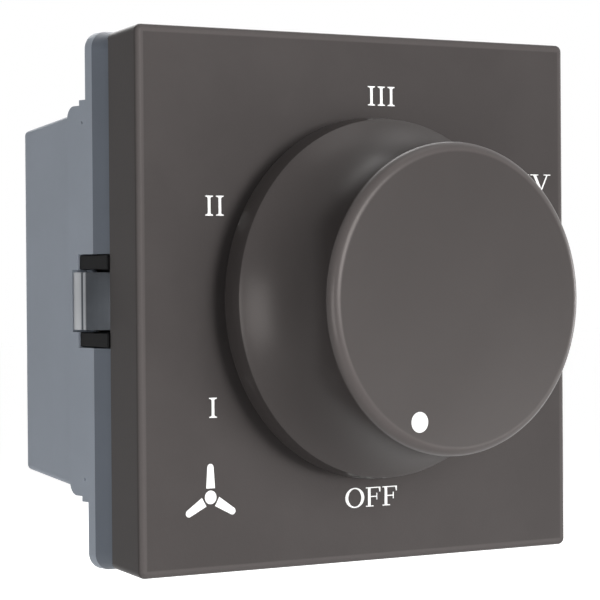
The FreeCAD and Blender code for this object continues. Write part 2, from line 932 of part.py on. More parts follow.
def make_shaft():
    boss_front = cover_cavity_y + bearing_cover_gap
    d_part = shaft_section(shaft_radius, shaft_flat, shaft_front_y(), boss_front)
    journal = rod_y(shaft_journal_radius, boss_front, casing_joint_y + rotor_gap / 2)
    drive = shaft_section(rotor_drive_radius, rotor_drive_flat, casing_joint_y, rotor_rear_y())
    tail = rod_y(shaft_tail_radius, rotor_rear_y(), tail_rear_y())
    return turned(join([d_part, journal, drive, tail]), rest_turn)


def make_rotor():
    front, rear = rotor_front_y(), rotor_rear_y()
    disc = rod_y(rotor_radius, front, rear)
    cuts = []
    reach = rotor_radius + notch_radius - notch_depth
    for k in range(notch_count):
        dx, dz = dial_direction(k * 360 / notch_count)
        cuts.append(rod_y(notch_radius, front - over, rear + over, dx * reach, dz * reach))
    drive_radius = rotor_drive_radius + rotor_drive_gap
    drive_flat = rotor_drive_flat + rotor_drive_gap
    cuts.append(shaft_section(drive_radius, drive_flat, front - over, rear + over))
    relief = rod_y(rotor_radius - rotor_rim, front - over, front + rotor_relief)
    cuts.append(relief.cut(rod_y(rotor_hub_radius, front - 2 * over, rear)))
    return turned(disc.cut(cuts), rest_turn)


def make_moving_contact():
    # A ring on the common contact, with an arm whose dimple wipes the speed contacts
    y0 = rotor_rear_y()
    y1 = y0 + bridge_thickness
    tip_y = y1 + dimple_height
    half = bridge_arm_width / 2
    arm = box(-half, half, y0, y1, -contact_circle - half * bridge_tip_share, 0)
    tip = rod_y(dimple_radius, y0, tip_y, 0, -contact_circle)
    crown = [e for e in tip.Edges if e.BoundBox.YMin > tip_y - 0.01]
    tip = tip.makeFillet(dimple_radius * 0.5, crown)
    ring = rod_y(bridge_ring_outer, y0, tip_y)
    body = join([ring, arm, tip])
    hole = rod_y(bridge_ring_inner, y0 - over, tip_y + over)
    return turned(body.cut(hole), rest_turn)


# Fixed contacts and their base

def busbar(x, side):
    # The rear-pointing end of a contact strip, inside its terminal cage
    y0 = base_front_y() - strip_thickness
    y1 = terminal_y + cage_length / 2
    half = busbar_width / 2
    bar = box(x - half, x + half, y0, y1, busbar_z, busbar_z + busbar_thickness)
    return bar if side > 0 else mirrored_z(bar)


def strip_between(a, b, width):
    y1 = base_front_y()
    y0 = y1 - strip_thickness
    length = math.hypot(b[0] - a[0], b[1] - a[1])
    ux, uz = (b[0] - a[0]) / length, (b[1] - a[1]) / length
    px, pz = -uz * width / 2, ux * width / 2
    outline = [
        (a[0] + px, a[1] + pz),
        (b[0] + px, b[1] + pz),
        (b[0] - px, b[1] - pz),
        (a[0] - px, a[1] - pz),
    ]
    return polygon_prism(outline, y0, y1)


def busbar_tab(x, side):
    # The flat end of a contact strip, from the base's edge to the busbar's root
    y1 = base_front_y()
    half = busbar_width / 2
    top = busbar_z + busbar_thickness
    tab = box(x - half, x + half, y1 - strip_thickness, y1, base_half_z - tab_lap, top)
    return tab if side > 0 else mirrored_z(tab)


def strip_to_terminal(start, elbow, x, side):
    y1 = base_front_y()
    foot = (x, side * (busbar_z + busbar_thickness / 2))
    parts = [strip_between(elbow, foot, strip_width), busbar_tab(x, side), busbar(x, side)]
    if elbow != start:
        parts.append(strip_between(start, elbow, strip_width))
        parts.append(rod_y(strip_width / 2, y1 - strip_thickness, y1, *elbow))
    return parts


def make_contact(dial_angle, x, side):
    y1 = base_front_y()
    dx, dz = dial_direction(dial_angle)
    pad = (dx * contact_circle, dz * contact_circle)
    elbow = (x, pad[1]) if abs(x) > strip_width / 2 else pad
    disc = rod_y(pad_radius, y1 - strip_thickness, y1, *pad)
    return join([disc] + strip_to_terminal(pad, elbow, x, side))


def make_common_contact(x, side):
    y1 = base_front_y()
    y0 = y1 - strip_thickness
    dx, dz = dial_direction(common_dial_angle)
    start = (dx * common_ring_mean, dz * common_ring_mean)
    ring = rod_y(common_ring_outer, y0, y1)
    body = join([ring] + strip_to_terminal(start, (x, side * common_elbow_z), x, side))
    return body.cut(rod_y(common_ring_inner, y0 - over, y1 + over))


def make_switch_base():
    y0 = base_front_y()
    y1 = y0 + base_thickness
    plate = box(-base_half_x, base_half_x, y0, y1, -base_half_z, base_half_z)
    corner_edges = [e for e in plate.Edges if e.BoundBox.YLength > 0.5]
    plate = plate.makeFillet(base_corner, corner_edges)
    cuts = [rod_y(base_centre_radius, y0 - over, y1 + over)]
    for sx in (-1, 1):
        hole = base_screw_radius + screw_hole_clearance
        cuts.append(rod_y(hole, y0 - over, y1 + over, sx * base_screw_x, 0))
    return plate.cut(cuts)


def make_detent_spring():
    # A steel leaf whose bump rides on the rotor's rim and drops into its notches
    top = -(rotor_radius + detent_gap) - detent_thickness / 2
    low = detent_seat_z() - detent_thickness / 2
    foot_x = detent_bump_half + detent_bump_slope
    crest_x = detent_bump_half * 0.45
    left = [(-detent_half_span, low), (-foot_x, low), (-crest_x, top - lap)]
    right = [(-x, z) for x, z in left[::-1]]
    leaf = bent_strip(left + [(0, top)] + right, detent_thickness, 0, detent_width)
    # The strip is bent in XY, so it is turned to lie in XZ with its width along Y
    leaf.rotate(Vec(0, 0, 0), Vec(1, 0, 0), 90)
    leaf.translate(Vec(0, rotor_front_y() + (rotor_thickness + detent_width) / 2, 0))
    return leaf


# Terminals

def cage_floor_z():
    # Underside of the cage floor at rest, with the terminal open
    return busbar_z - wire_space - cage_floor


def make_terminal_cage(x, side):
    y0 = terminal_y - cage_length / 2
    y1 = terminal_y + cage_length / 2
    half = cage_width / 2
    inner_floor = busbar_z - wire_space
    inner_top = inner_floor + cage_opening
    block = box(x - half, x + half, y0, y1, cage_floor_z(), inner_top + cage_roof)
    inside = half - cage_wall
    window = box(x - inside, x + inside, y0 - over, y1 + over, inner_floor, inner_top)
    hole = terminal_screw_radius + thread_clearance
    thread = rod_z(hole, inner_top - over, inner_top + cage_roof + over, x, terminal_y)
    cage = block.cut([window, thread])
    return cage if side > 0 else mirrored_z(cage)


def make_terminal_screw(x, side):
    tip_z = busbar_z + busbar_thickness + screw_tip_gap
    top = terminal_head_z + terminal_head_height
    r = terminal_head_radius
    shank = rod_z(terminal_screw_radius, tip_z, terminal_head_z + lap, x, terminal_y)
    head = rod_z(r, terminal_head_z, top, x, terminal_y)
    crown = [e for e in head.Edges if e.BoundBox.ZMin > top - 0.01]
    head = head.makeFillet(terminal_head_round, crown)
    half = slot_width / 2
    slot = box(x - r, x + r, terminal_y - half, terminal_y + half, top - slot_depth, top + over)
    screw = join([shank, head]).cut(slot)
    return screw if side > 0 else mirrored_z(screw)


def build():
    nodes = {
        "cover_plate": make_cover_plate(),
        "scale_legend": make_scale_legend(),
        "fan_symbol": make_fan_symbol(),
        "front_frame": make_front_frame(),
        "rear_casing": make_rear_casing(),
        "casing_screws": make_casing_screws(),
        "base_screws": make_base_screws(),
        "switch_base": make_switch_base(),
        "detent_spring": make_detent_spring(),
        "knob": make_knob(),
        "pointer_dot": make_pointer_dot(),
        "knob_grip_spring": make_grip_spring(),
        "shaft": make_shaft(),
        "rotor": make_rotor(),
        "moving_contact": make_moving_contact(),
        "left_clip": make_left_clip(),
        "right_clip": mirrored_x(make_left_clip()),
        "left_clip_holder": make_left_holder(),
        "right_clip_holder": mirrored_x(make_left_holder()),
    }
    for name, x, side in terminal_places():
        nodes["terminal_screw_" + name] = make_terminal_screw(x, side)
        nodes["terminal_cage_" + name] = make_terminal_cage(x, side)
        if name in dial_angles:
            nodes["contact_" + name] = make_contact(dial_angles[name], x, side)
        else:
            nodes["contact_" + name] = make_common_contact(x, side)
    return nodes


def main():
    os.makedirs("parts", exist_ok=True)
    for name, shape in build().items():
        shape.exportStep("parts/" + name + ".step")
        print(name, len(shape.Solids), shape.isValid(), round(shape.Volume, 2))


main()
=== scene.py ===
import math

import bmesh
import bpy
from mathutils import Matrix, Vector


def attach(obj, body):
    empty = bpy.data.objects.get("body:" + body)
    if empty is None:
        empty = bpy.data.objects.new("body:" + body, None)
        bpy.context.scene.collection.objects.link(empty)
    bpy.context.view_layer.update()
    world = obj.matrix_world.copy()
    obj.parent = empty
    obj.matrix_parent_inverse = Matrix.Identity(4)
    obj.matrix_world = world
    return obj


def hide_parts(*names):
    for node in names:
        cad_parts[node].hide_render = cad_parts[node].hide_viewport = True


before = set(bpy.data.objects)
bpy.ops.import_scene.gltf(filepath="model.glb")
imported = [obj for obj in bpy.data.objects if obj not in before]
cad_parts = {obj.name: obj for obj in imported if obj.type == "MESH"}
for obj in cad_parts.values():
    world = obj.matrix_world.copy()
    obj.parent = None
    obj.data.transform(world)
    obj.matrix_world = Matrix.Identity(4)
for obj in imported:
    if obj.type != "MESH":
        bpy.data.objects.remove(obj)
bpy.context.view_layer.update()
print("frame loaded")

mm = 0.001
tiny = 0.00001  # Metres: points closer than this are at one place
over = 1.0  # How far in mm a cutter reaches past what it cuts
flatWithin = 0.5  # Degrees: CAD facets that turn less than this are one flat face
sharpFrom = 32  # Degrees: edges that turn more than this stay sharp
white = (1.0, 1.0, 1.0, 1.0)


# Small tools for work in edit mode and with modifiers
def layDown():
    # An operator acts on all that is selected, so nothing stays selected
    bpy.ops.object.select_all(action="DESELECT")


def takeUp(piece):
    layDown()
    piece.select_set(True)
    bpy.context.view_layer.objects.active = piece


def openUp(piece):
    takeUp(piece)
    bpy.ops.object.mode_set(mode="EDIT")


def close():
    bpy.ops.object.mode_set(mode="OBJECT")


def pick(piece, kind, test):
    # Selects the faces, edges or corners for which test is true
    bpy.ops.mesh.select_mode(type=kind)
    bpy.ops.mesh.select_all(action="DESELECT")
    shape = bmesh.from_edit_mesh(piece.data)
    shape.normal_update()
    parts = {"FACE": shape.faces, "EDGE": shape.edges, "VERT": shape.verts}[kind]
    for part in parts:
        if test(part):
            part.select_set(True)
    bmesh.update_edit_mesh(piece.data)


def pickAll(kind="FACE"):
    bpy.ops.mesh.select_mode(type=kind)
    bpy.ops.mesh.select_all(action="SELECT")


def push(x=0.0, y=0.0, z=0.0):
    bpy.ops.mesh.extrude_region_move(TRANSFORM_OT_translate={"value": (x * mm, y * mm, z * mm)})


def stretch(x, y, z, centre):
    place = tuple(c * mm for c in centre)
    bpy.ops.transform.resize(value=(x, y, z), center_override=place)


def bevelPicked(width, steps):
    bpy.ops.mesh.bevel(offset=width * mm, offset_type="OFFSET", segments=steps, profile=0.5)


def freeze(piece, name):
    piece.name = name
    piece.data.name = name
    takeUp(piece)
    bpy.ops.object.transform_apply(location=True, rotation=True, scale=True)
    return piece


def addBlock(name, xs, ys, zs):
    centre = [(a + b) / 2 * mm for a, b in (xs, ys, zs)]
    layDown()
    bpy.ops.mesh.primitive_cube_add(size=1, location=centre)
    block = bpy.context.object
    block.scale = [(b - a) * mm for a, b in (xs, ys, zs)]
    return freeze(block, name)


def addDisc(name, radius, y, steps, x=0.0, z=0.0):
    layDown()
    bpy.ops.mesh.primitive_circle_add(
        vertices=steps, radius=radius * mm, fill_type="NGON",
        location=(x * mm, y * mm, z * mm), rotation=(math.pi / 2, 0, 0))
    return freeze(bpy.context.object, name)


def addRod(name, radius, y0, y1, steps, x=0.0, z=0.0):
    rod = addDisc(name, radius, y0, steps, x, z)
    openUp(rod)
    pickAll()
    push(y=y1 - y0)
    tidyNormals()
    close()
    return rod


def tidyNormals():
    pickAll()
    bpy.ops.mesh.remove_doubles(threshold=tiny * 0.1)
    bpy.ops.mesh.normals_make_consistent(inside=False)


def applyTool(piece, kind, **settings):
    takeUp(piece)
    tool = piece.modifiers.new(kind.lower(), kind)
    for key, value in settings.items():
        setattr(tool, key, value)
    bpy.ops.object.modifier_apply(modifier=tool.name)


def cutAway(piece, cutter):
    applyTool(piece, "BOOLEAN", operation="DIFFERENCE", solver="EXACT", object=cutter)
    bpy.data.objects.remove(cutter)


def addTo(piece, extras):
    layDown()
    for extra in extras:
        extra.select_set(True)
    piece.select_set(True)
    bpy.context.view_layer.objects.active = piece
    bpy.ops.object.join()


def smooth(piece, degrees=sharpFrom):
    takeUp(piece)
    bpy.ops.object.shade_smooth_by_angle(angle=math.radians(degrees))


def settle(piece, node, body):
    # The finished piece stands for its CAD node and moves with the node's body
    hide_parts(node)
    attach(piece, body)


def roundedCopy(node, name, width, steps):
    # A merged copy of a CAD node, with its sharp edges worn round
    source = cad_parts[node]
    piece = source.copy()
    piece.data = source.data.copy()
    bpy.context.scene.collection.objects.link(piece)
    piece.hide_render = False
    piece.hide_viewport = False
    piece.name = name
    piece.data.name = name
    openUp(piece)
    bpy.ops.mesh.customdata_custom_splitnormals_clear()
    pickAll()
    bpy.ops.mesh.remove_doubles(threshold=tiny * 0.2)
    bpy.ops.mesh.dissolve_limited(angle_limit=math.radians(flatWithin), delimit=set())
    close()
    applyTool(
        piece, "BEVEL", width=width * mm, segments=steps, limit_method="ANGLE",
        angle_limit=math.radians(sharpFrom), use_clamp_overlap=True, miter_outer="MITER_ARC")
    smooth(piece)
    applyTool(piece, "WEIGHTED_NORMAL", keep_sharp=True)
    return piece


# The finishes, made of nodes on Object coordinates, which are in metres
class Field:
    # A socket that takes part in sums: each operator adds its Math node
    def __init__(self, paint, socket):
        self.paint = paint
        self.socket = socket

    def maths(self, operation, first, second):
        return self.paint.maths(operation, first, second)

    def __add__(self, other):
        return self.maths("ADD", self, other)

    def __sub__(self, other):
        return self.maths("SUBTRACT", self, other)

    def __rsub__(self, other):
        return self.maths("SUBTRACT", other, self)

    def __mul__(self, other):
        return self.maths("MULTIPLY", self, other)

    def __pow__(self, other):
        return self.maths("POWER", self, other)

    __radd__ = __add__

    def above(self, low, high):
        # Rises smoothly from 0 at low to 1 at high
        settings = {"interpolation_type": "SMOOTHSTEP"}
        values = {"Value": self, "From Min": low, "From Max": high}
        return self.paint.add("ShaderNodeMapRange", settings, values)


class Nodes:
    def __init__(self, tree):
        self.tree = tree

    def add(self, kind, settings=None, values=None, out=0):
        node = self.tree.nodes.new(kind)
        for key, value in (settings or {}).items():
            setattr(node, key, value)
        for key, value in (values or {}).items():
            if isinstance(value, Field):
                self.tree.links.new(value.socket, node.inputs[key])
            else:
                node.inputs[key].default_value = value
        return Field(self, node.outputs[out])

    def maths(self, operation, first, second=0.0):
        return self.add("ShaderNodeMath", {"operation": operation}, {0: first, 1: second})

    def seen(self):
        # 1 for the rays that show the background: to the camera, in gloss and through glass
        camera = self.add("ShaderNodeLightPath", out="Is Camera Ray")
        glossy = self.add("ShaderNodeLightPath", out="Is Glossy Ray")
        through = self.add("ShaderNodeLightPath", out="Is Transmission Ray")
        return (camera + glossy + through).above(0, 1)


class Paint(Nodes):
    def __init__(self, name):
        self.material = bpy.data.materials.new(name)
        self.material.use_nodes = True
        super().__init__(self.material.node_tree)
        self.shader = self.tree.nodes["Principled BSDF"]
        self.place = self.add("ShaderNodeTexCoord", out="Object")

    def set(self, **values):
        for key, value in values.items():
            socket = self.shader.inputs[key.replace("_", " ")]
            if isinstance(value, Field):
                self.tree.links.new(value.socket, socket)
            else:
                socket.default_value = value

    def spread(self, x, y, z):
        return self.add("ShaderNodeMapping", None, {"Vector": self.place, "Scale": (x, y, z)})

    def noise(self, scale, detail, rough=0.6, place=None):
        values = {
            "Vector": place or self.place, "Scale": scale, "Detail": detail, "Roughness": rough}
        return self.add("ShaderNodeTexNoise", None, values)

    def grains(self, scale):
        values = {"Vector": self.place, "Scale": scale}
        return self.add("ShaderNodeTexVoronoi", {"feature": "F1"}, values)

    def mixed(self, share, first, second):
        settings = {"data_type": "RGBA"}
        return self.add("ShaderNodeMix", settings, {0: share, 6: first, 7: second}, out=2)

    def bump(self, height, depth):
        values = {"Height": height, "Distance": depth * mm}
        return self.add("ShaderNodeBump", None, values)


def shade(colour, share):
    return tuple(min(1.0, c * share) for c in colour) + (1.0,)


def paintedEdgeHighlight(paint, rim):
    # 1 on the edge of a front face, round or square, where a highlight is painted paler into the
    # colour
    x, y, z = (
        paint.add("ShaderNodeSeparateXYZ", None, {"Vector": paint.place}, out=axis)
        for axis in "XYZ")
    if rim["square"]:
        out = paint.maths("MAXIMUM", paint.maths("ABSOLUTE", x), paint.maths("ABSOLUTE", z))
    else:
        out = (x ** 2 + z ** 2) ** 0.5
    edge, behind = rim["edge"], rim["behind"]
    highlight = out.above((edge - rim["blur"]) * mm, (edge + rim["blur"]) * mm)
    return highlight * (1 - y.above(behind * mm, (behind + rim["fade"]) * mm))


# Noise scales are in turns a metre, and depths of the grain in mm
plasticFinish = {
    "clouds": 90, "cloudEdges": (0.3, 0.7), "grain": 5200, "grainShare": 0.25, "depth": 0.006,
    "scuffs": 900, "scuffLength": 0.08, "scuffEdges": (0.66, 0.78), "scuffShine": 0.4,
    "highlightMottle": 0.3,
}


def mouldedPlastic(name, colour, rough, cloud=0.07, gloss=0.5, patchy=0.12, tint=white, rim=None):
    # Spark-eroded plastic: a fine even grain, faint clouding and a few scuffs that shine
    f = plasticFinish
    paint = Paint(name)
    clouds = paint.noise(f["clouds"], 4)
    fine = paint.noise(f["grain"], 3)
    scuffs = paint.noise(f["scuffs"], 2, 0.5, paint.spread(1, 1, f["scuffLength"]))
    shiny = scuffs.above(*f["scuffEdges"]) * patchy * f["scuffShine"]
    tone = clouds.above(*f["cloudEdges"]) * (1 - f["grainShare"]) + fine * f["grainShare"]
    base = paint.mixed(tone, shade(colour, 1 - cloud), shade(colour, 1 + cloud))
    # Given a rim, a paler band is painted on the front edge: a painted highlight, mottled by the
    # grain
    if rim:
        mottle = 1 - f["highlightMottle"] / 2 + fine * f["highlightMottle"]
        base = paint.mixed(paintedEdgeHighlight(paint, rim) * mottle, base, shade(colour, rim["paler"]))
    paint.set(
        Base_Color=base,
        Roughness=rough + (clouds - 0.5) * patchy - shiny,
        Normal=paint.bump(fine, f["depth"]),
        Specular_Tint=tint,
        Specular_IOR_Level=gloss)
    return paint.material


inkFinish = {
    "mottle": 2600, "thinEdges": (0.35, 0.75), "thinShade": 0.93, "rough": 0.42, "patchy": 0.16,
    "depth": 0.004,
}


def inkPrint(name, colour):
    # Pad-printed ink: almost even, a little thinner here and there
    f = inkFinish
    paint = Paint(name)
    thin = paint.noise(f["mottle"], 3)
    base = paint.mixed(
        thin.above(*f["thinEdges"]), shade(colour, 1.0), shade(colour, f["thinShade"]))
    paint.set(
        Base_Color=base,
        Roughness=f["rough"] + thin * f["patchy"],
        Normal=paint.bump(thin, f["depth"]))
    return paint.material


stripFinish = {
    "along": 60, "across": 2600, "mottle": 700, "lineShare": 0.4, "dark": 0.86, "pale": 1.1,
    "linePatchy": 0.22, "mottlePatchy": 0.1, "depth": 0.003,
}


def rollingMarks(paint, along):
    # Fine rolling lines along the strip, the mottle under them, and both together
    f = stripFinish
    scales = [f["along"] if axis == along else f["across"] for axis in "xyz"]
    lines = paint.noise(1.0, 3, place=paint.spread(*scales))
    mottle = paint.noise(f["mottle"], 3)
    return lines, mottle, mottle * (1 - f["lineShare"]) + lines * f["lineShare"]


def rolledMetal(name, colour, rough):
    f = stripFinish
    paint = Paint(name)
    lines, mottle, marks = rollingMarks(paint, "x")
    paint.set(
        Base_Color=paint.mixed(marks, shade(colour, f["dark"]), shade(colour, f["pale"])),
        Metallic=1.0,
        Roughness=rough + (lines - 0.5) * f["linePatchy"] + (mottle - 0.5) * f["mottlePatchy"],
        Normal=paint.bump(lines, f["depth"]))
    return paint.material


# Places along Y, in mm, where the painted shade on the clip's leg ends, its bright tail starts and
# the painted shade in its fold lies
clipFinish = {
    "tail": (0.3, 0.31, 0.325), "shadedLeg": (0.05, 0.054, 0.06), "tailShades": (0.86, 1.1),
    "shadedLegShades": (0.8, 1.2), "shadedLegEnd": -0.9, "tailStart": -0.5, "foldShade": 0.12, "foldShadeWidth": 0.06,
    "rough": 0.34, "linePatchy": 0.2, "mottlePatchy": 0.08, "depth": 0.003,
}


def springSteel(name):
    # Bright at the bent tail, and darkened on the leg behind the cover: painted shade for the
    # cover's shadow and the leg's darker reflection
    f = clipFinish
    paint = Paint(name)
    behind = paint.add("ShaderNodeSeparateXYZ", None, {"Vector": paint.place}, out="Y")
    lines, mottle, marks = rollingMarks(paint, "z")
    # bright is the tail's colour, and dark the leg's colour with painted shade in it
    bright, dark = (
        paint.mixed(marks, *(shade(f[part], share) for share in f[part + "Shades"]))
        for part in ("tail", "shadedLeg"))
    # A fine dark line is painted into the fold of the tail: painted shade in the crease
    away = (behind - f["foldShade"] * mm) * (1 / mm)
    clear = (away * away).above(f["foldShadeWidth"] ** 2, (2 * f["foldShadeWidth"]) ** 2)
    tail = paint.mixed(clear, shade(f["shadedLeg"], f["shadedLegShades"][1]), bright)
    paint.set(
        Base_Color=paint.mixed(behind.above(f["shadedLegEnd"] * mm, f["tailStart"] * mm), dark, tail),
        Metallic=1.0,
        Roughness=f["rough"] + (lines - 0.5) * f["linePatchy"] + (mottle - 0.5) * f["mottlePatchy"],
        Normal=paint.bump(lines, f["depth"]))
    return paint.material


platedFinish = {
    "clouds": 420, "pits": 1500, "pitEdges": (0.0, 0.35), "dark": 0.82, "pale": 1.12,
    "patchy": 0.2, "depth": 0.004,
}


def platedMetal(name, colour, rough):
    # Barrel-plated parts: a cloudy grain with small pits
    f = platedFinish
    paint = Paint(name)
    clouds = paint.noise(f["clouds"], 4)
    pits = paint.grains(f["pits"]).above(*f["pitEdges"])
    paint.set(
        Base_Color=paint.mixed(clouds, shade(colour, f["dark"]), shade(colour, f["pale"])),
        Metallic=1.0,
        Roughness=rough + (clouds - 0.5) * f["patchy"],
        Normal=paint.bump(pits * 0.5 + clouds * 0.5, f["depth"]))
    return paint.material


anthracite = (0.0569, 0.0511, 0.05)
# The knob's anthracite is the cover's darkened to about three quarters: painted shade, so that its
# face renders no brighter than the cover's
darkenedKnobAnthracite = (0.0437, 0.0387, 0.0377)
warmGloss = (1.0, 0.93, 0.9, 1.0)
# Painted highlights on the front edges, in mm: the pale part starts at the edge, outwards, and ends
# at behind, rearwards
paintedRimHighlight = {
    "edge": 12.05, "blur": 0.12, "behind": -20.9, "fade": 0.3, "paler": 1.75, "square": False,
}
paintedBorderHighlight = {
    "edge": 21.85, "blur": 0.08, "behind": -8.2, "fade": 0.15, "paler": 1.42, "square": True,
}
finishes = {
    "cover": mouldedPlastic(
        "anthraciteCover", anthracite, 0.34, gloss=0.07, patchy=0.06, tint=warmGloss,
        rim=paintedBorderHighlight),
    "knob": mouldedPlastic(
        "darkenedKnobAnthracite", darkenedKnobAnthracite, 0.31, cloud=0.04, gloss=0.22, patchy=0.03,
        tint=warmGloss, rim=paintedRimHighlight),
    "ink": inkPrint("whiteInk", (0.93, 0.93, 0.92)),
    "frame": mouldedPlastic("darkBlueGrey", (0.135, 0.152, 0.18), 0.5, cloud=0.05, gloss=0.15),
    "casing": mouldedPlastic("blueGrey", (0.335, 0.37, 0.425), 0.5, cloud=0.05, gloss=0.18),
    "holder": mouldedPlastic("blackHolder", (0.005, 0.005, 0.0055), 0.45, cloud=0.1, gloss=0.06),
    "base": mouldedPlastic("creamBase", (0.62, 0.57, 0.45), 0.5),
    "nylon": mouldedPlastic("naturalNylon", (0.75, 0.74, 0.70), 0.4, cloud=0.03),
    "clip": springSteel("springSteel"),
    "leaf": rolledMetal("leafSteel", (0.55, 0.56, 0.58), 0.3),
    "screw": platedMetal("zincScrew", (0.42, 0.43, 0.45), 0.36),
    "cage": platedMetal("nickelCage", (0.62, 0.6, 0.55), 0.34),
    "brass": rolledMetal("stampedBrass", (0.78, 0.6, 0.3), 0.3),
    "bronze": rolledMetal("contactBronze", (0.72, 0.48, 0.28), 0.3),
}
print("finishes ready")


def dress(piece, finish):
    piece.data.materials.clear()
    piece.data.materials.append(finishes[finish])


# Cover plate, in mm. Its hooks run from the face to the catch, and the barb from there to the end
coverPlate = {
    "half": 22.5, "front": -8.4, "rear": -3.3, "draft": 0.4, "corner": 0.6, "edge": 0.45,
    "rearEdge": 0.08, "wall": 1.5, "face": 2.0, "hubHole": 6.1, "hubSteps": 96,
    "hookX": 12.0, "hookZ": 10.8, "hookWidth": 4.0, "hookThickness": 1.2, "hookSunk": 0.1,
    "catch": -1.05, "hookEnd": -0.2, "barbStep": 0.01, "barb": 0.45,
}


def makeCoverHook(sideX, sideZ):
    c = coverPlate
    x = sideX * c["hookX"]
    z0 = sideZ * c["hookZ"]
    z1 = z0 + sideZ * c["hookThickness"]
    half = c["hookWidth"] / 2
    root = c["front"] + c["face"] - c["hookSunk"]
    hook = addBlock("hook", (x - half, x + half), (root, c["catch"]), sorted((z0, z1)))
    openUp(hook)
    pick(hook, "FACE", lambda face: face.normal.y > 0.9)
    push(y=c["hookEnd"] - c["catch"])
    # The barb's face leans out from the tip to the catch
    catch = c["catch"] * mm
    middle = (c["hookEnd"] + c["catch"]) / 2 * mm
    outer = abs(z1) * mm + tiny * 0.5

    def isBarbFace(face):
        return face.normal.z * sideZ > 0.9 and face.calc_center_median().y > catch

    pick(hook, "FACE", isBarbFace)
    push(z=c["barbStep"] * sideZ)
    pick(hook, "VERT", lambda v: abs(v.co.z) > outer and v.co.y < middle)
    bpy.ops.transform.translate(value=(0, 0, sideZ * c["barb"] * mm))
    tidyNormals()
    close()
    return hook


def makeCoverPlate():
    c = coverPlate
    half, front, rear = c["half"], c["front"], c["rear"]
    plate = addBlock("coverPlate", (-half, half), (front, rear), (-half, half))
    openUp(plate)
    pick(plate, "FACE", lambda face: face.normal.y > 0.9)
    ratio = (half - c["draft"]) / half
    stretch(ratio, 1, ratio, (0, rear, 0))
    # The shell is hollowed from behind
    pick(plate, "FACE", lambda face: face.normal.y > 0.9)
    bpy.ops.mesh.inset(thickness=c["wall"] * mm)
    push(y=front + c["face"] - rear)
    pick(plate, "EDGE", lambda edge: abs(edge.verts[0].co.y - edge.verts[1].co.y) > mm)
    bevelPicked(c["corner"], steps=6)
    pick(plate, "EDGE", lambda edge: max(v.co.y for v in edge.verts) < front * mm + tiny)
    bevelPicked(c["edge"], steps=8)
    pick(plate, "EDGE", lambda edge: min(v.co.y for v in edge.verts) > rear * mm - tiny)
    bevelPicked(c["rearEdge"], steps=2)
    tidyNormals()
    close()
    cutAway(plate, addRod(
        "hubCutter", c["hubHole"], front - over, front + c["face"] + over, c["hubSteps"]))
    addTo(plate, [makeCoverHook(sx, sz) for sx in (-1, 1) for sz in (-1, 1)])
    smooth(plate)
    applyTool(plate, "WEIGHTED_NORMAL", keep_sharp=True)
    dress(plate, "cover")
    settle(plate, "cover_plate", "root")


makeCoverPlate()
print("cover plate done")


# Knob and its dot, in mm: heights run forward from the cover's face, and the turn is in degrees
knobShape = {
    "seat": -8.4, "gap": 1.6, "radius": 15.3, "baseRound": 0.25, "baseSteps": 5,
    "bandTop": 3.55, "bandRadius": 15.1, "bandEdge": 0.05,
    "neckRadius": 11.7, "neckHeight": 12.1, "sagitta": 1.3, "skirtSteps": 28,
    "height": 13.4, "frontRadius": 12.84, "rimFillet": 0.85, "rimSteps": 12,
    "hubRadius": 5.5, "hubReach": 1.2, "wall": 2.0, "face": 2.0, "turn": 23.5, "steps": 192,
    "boreRadius": 3.03, "boreFlat": 1.86, "boreDepth": 11.3, "boreStart": 3.0, "boreSteps": 64,
    "dotRadius": 0.84, "dotPlace": 10.75, "dotDepth": 0.5, "dotProud": 0.05, "dotEdge": 0.04,
    "dotGap": 0.01, "dotFloor": 0.02, "dotSteps": 48,
}


def arcPoints(centre, radius, start, end, count):
    points = []
    for i in range(count + 1):
        a = math.radians(start + (end - start) * i / count)
        points.append((centre[0] + radius * math.cos(a), centre[1] + radius * math.sin(a)))
    return points


def skirtPoints(count):
    # The concave skirt: a shallow arc between the band's edge and the neck under the rim
    k = knobShape
    ax, ay = k["bandRadius"], k["bandTop"]
    bx, by = k["neckRadius"], k["neckHeight"]
    chord = math.hypot(bx - ax, by - ay)
    sag = k["sagitta"]
    radius = (chord * chord / 4 + sag * sag) / (2 * sag)
    ux, uy = (bx - ax) / chord, (by - ay) / chord
    cx = (ax + bx) / 2 + uy * (radius - sag)
    cy = (ay + by) / 2 - ux * (radius - sag)
    start = math.degrees(math.atan2(ay - cy, ax - cx))
    end = math.degrees(math.atan2(by - cy, bx - cx))
    turn = (end - start + 180) % 360 - 180
    return arcPoints((cx, cy), radius, start, start + turn, count)


def dotCentre():
    a = math.radians(knobShape["turn"])
    return -math.sin(a) * knobShape["dotPlace"], -math.cos(a) * knobShape["dotPlace"]


def knobOutline():
    # Radius and height above the cover, from the hub's rear end round to the front face
    k = knobShape
    r, top, fillet, wall = k["baseRound"], k["height"], k["rimFillet"], k["wall"]
    inner = top - k["face"]
    middle = skirtPoints(2)[1]
    outline = [(k["hubRadius"], -k["hubReach"]), (k["hubRadius"], inner)]
    outline += [(middle[0] - wall, inner), (middle[0] - wall, middle[1])]
    outline += [(k["bandRadius"] - wall, k["bandTop"]), (k["bandRadius"] - wall, k["gap"])]
    outline += arcPoints((k["radius"] - r, k["gap"] + r), r, -90, 0, k["baseSteps"])
    outline += skirtPoints(k["skirtSteps"])
    outline += arcPoints((k["frontRadius"] - fillet, top - fillet), fillet, 0, 90, k["rimSteps"])
    return outline


